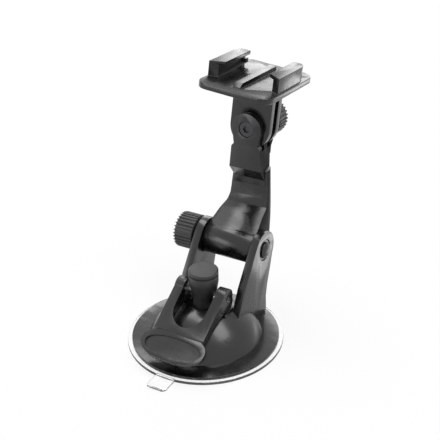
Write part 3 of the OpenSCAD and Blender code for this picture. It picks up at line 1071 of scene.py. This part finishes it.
@dataclass(frozen=True)
class SoftLamp:
    """A soft rectangular lamp, unseen by the camera.

    Attributes:
        name: name of the lamp.
        place: its centre in metres.
        aim: point that it faces.
        size: width and height in metres.
        watts: its power.
    """

    name: str
    place: Point
    aim: Point
    size: tuple[float, float]
    watts: float

    def hang(self) -> None:
        """Adds the lamp to the scene."""
        data = bpy.data.lights.new(self.name, "AREA")
        data.shape = "RECTANGLE"
        data.size, data.size_y = self.size
        data.energy = self.watts
        made = bpy.data.objects.new(self.name, data)
        back = Vector(self.place) - Vector(self.aim)
        turn = back.to_track_quat("Z", "Y").to_matrix().to_4x4()
        made.matrix_world = Matrix.Translation(self.place) @ turn
        made.visible_camera = False
        bpy.context.scene.collection.objects.link(made)


@dataclass
class Studio:
    """Camera, pale floor, world and soft lamps.

    Attributes:
        lens: focal length in mm.
        sensor: width of the sensor in mm.
        clip: nearest and farthest distance that the camera sees, in metres.
        place: camera position in metres.
        pitch: downward pitch in degrees.
        turn: turn of the view about Z in degrees.
        roll: roll of the view in degrees.
        lamps: a backdrop, one overhead, two small ones on the floor and one in front.
    """

    lens: float = 81.82
    sensor: float = 36.0
    clip: tuple[float, float] = (0.01, 20.0)
    place: Point = (0.22494, -0.36746, 0.31397)
    pitch: float = 29.47
    turn: float = 30.26
    roll: float = 1.5
    lamps: tuple[SoftLamp, ...] = (
        SoftLamp("backdrop", (-0.40, 1.0, 0.33), (0.0, 0.05, 0.12), (1.2, 0.36), 3.0),
        SoftLamp("overhead", (0.05, 0.22, 1.2), (0.0, 0.02, 0.06), (2.1, 0.62), 19.0),
        SoftLamp("low_back", (0.145, 0.325, 0.003), (0.145, 0.325, 1.0), (0.10, 0.11), 0.14),
        SoftLamp("low_right", (0.075, 0.10, 0.003), (0.075, 0.10, 1.0), (0.06, 0.07), 0.04),
        SoftLamp("front_fill", (-0.6, -0.75, 0.25), (0.0, 0.0, 0.06), (0.7, 0.4), 2.2),
    )

    def camera(self) -> None:
        """Makes the camera first, so that later steps can rely on it."""
        turn, pitch, roll = (math.radians(a) for a in (self.turn, self.pitch, self.roll))
        right = Vector((math.cos(turn), math.sin(turn), 0.0))
        away = Vector((-math.sin(turn), math.cos(turn), 0.0))
        forward = away * math.cos(pitch) - Vector((0.0, 0.0, 1.0)) * math.sin(pitch)
        up = right.cross(forward)
        across = math.cos(roll) * right - math.sin(roll) * up
        upward = math.sin(roll) * right + math.cos(roll) * up
        data = bpy.data.cameras.new("camera")
        data.lens = self.lens
        data.sensor_width = self.sensor
        data.clip_start, data.clip_end = self.clip
        made = bpy.data.objects.new("camera", data)
        turned = Matrix([list(row) for row in zip(across, upward, -forward)]).to_4x4()
        made.matrix_world = Matrix.Translation(self.place) @ turned
        bpy.context.scene.collection.objects.link(made)
        bpy.context.scene.camera = made

    def floor(self) -> None:
        """Lays a pale floor that looks white to the camera and keeps the shadow."""
        shape = bmesh.new()
        bmesh.ops.create_grid(shape, x_segments=2, y_segments=2, size=FLOOR_REACH)
        mesh = as_mesh(shape, "floor")
        mesh.transform(Matrix.Translation((0.0, 0.0, -FLOOR_DROP)))
        made = self._floor_material()
        add_object("floor", mesh, made)

    def _floor_material(self) -> bpy.types.Material:
        """Matt grey that glows to the camera and, more faintly, in reflections.

        Returns:
            The material.
        """
        made = bpy.data.materials.new("pale_floor")
        made.use_nodes = True
        tree = NodeTree(made.node_tree)
        shader = made.node_tree.nodes["Principled BSDF"]
        shader.inputs["Base Color"].default_value = FLOOR_GREY
        shader.inputs["Roughness"].default_value = FLOOR_ROUGHNESS
        glow = tree.node("ShaderNodeEmission")
        glow.inputs["Strength"].default_value = 1.0
        rays = tree.node("ShaderNodeLightPath").outputs
        seen = tree.maths("MAXIMUM", rays["Is Camera Ray"], rays["Is Transmission Ray"])
        mirrored = tree.maths("MULTIPLY", rays["Is Glossy Ray"], GLOW_MIRRORED)
        share = tree.maths("MULTIPLY_ADD", seen, GLOW_SEEN, mirrored)
        mixed = tree.mix(share, shader.outputs["BSDF"], glow.outputs["Emission"])
        tree.link(mixed, made.node_tree.nodes["Material Output"].inputs["Surface"])
        return made

    def world(self) -> None:
        """White to the camera and to reflections, soft grey as a lamp."""
        made = bpy.data.worlds.new("studio")
        bpy.context.scene.world = made
        made.use_nodes = True
        tree = NodeTree(made.node_tree)
        soft = made.node_tree.nodes["Background"]
        white = tree.node("ShaderNodeBackground")
        for glow, strength in ((soft, WORLD_AS_LAMP), (white, 1.0)):
            glow.inputs["Color"].default_value = WHITE
            glow.inputs["Strength"].default_value = strength
        rays = tree.node("ShaderNodeLightPath").outputs
        seen = tree.maths("MAXIMUM", rays["Is Camera Ray"], rays["Is Transmission Ray"])
        shown = tree.maths("MAXIMUM", seen, rays["Is Glossy Ray"])
        mixed = tree.mix(shown, soft.outputs["Background"], white.outputs["Background"])
        tree.link(mixed, made.node_tree.nodes["World Output"].inputs["Surface"])

    def build(self) -> None:
        """Sets the view transform and makes everything round the object."""
        bpy.context.scene.view_settings.view_transform = "Standard"
        self.floor()
        self.world()
        for lamp in self.lamps:
            lamp.hang()


def main() -> None:
    """Builds the camera, the pieces and the studio in order."""
    logging.basicConfig(level=logging.INFO, format="%(message)s")
    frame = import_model()
    studio = Studio()
    studio.camera()
    SuctionPad().build()
    MouldedShells().build(frame["nodes"])
    ribs = rib_ring_recipe()
    ClampKnob("lower_knob", "lower_knob_spin", "lower_knob").build(frame, ribs)
    ClampKnob("upper_knob", "upper_knob_spin", "upper_knob").build(frame, ribs)
    ReturnSpring().build(coil_recipe())
    PlainHardware().dress(frame["nodes"])
    studio.build()


if __name__ == "__main__":
    main()
